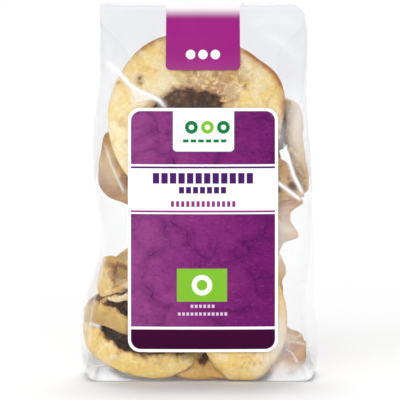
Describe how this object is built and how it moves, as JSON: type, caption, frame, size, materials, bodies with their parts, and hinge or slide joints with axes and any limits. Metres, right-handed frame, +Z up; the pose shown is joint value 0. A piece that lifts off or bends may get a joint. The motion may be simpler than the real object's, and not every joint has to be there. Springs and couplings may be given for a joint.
{
  "type": "bag of dried apple rings",
  "caption": "Standing clear film bag filled with dried apple rings: flat block bottom, folded top held by a printed strip, and a purple and white label on the front.",
  "frame": {"origin": "middle of the footprint, at the underside of the base", "axes": "+Z is up the standing bag; the front with the label faces -Y; +X is to the right as seen from the front"},
  "size_m": [0.1095, 0.066, 0.1714],
  "materials": {
    "clear_film": "clear, glossy thin film",
    "label_print": "satin printed label",
    "strip_print": "glossy printed strip",
    "apple_flesh": "matt, wrinkled dried fruit"
  },
  "bodies": {
    "root": {"bag": "clear_film", "front_label": "label_print", "closing_strip": "strip_print"}
  },
  "joints": []
}
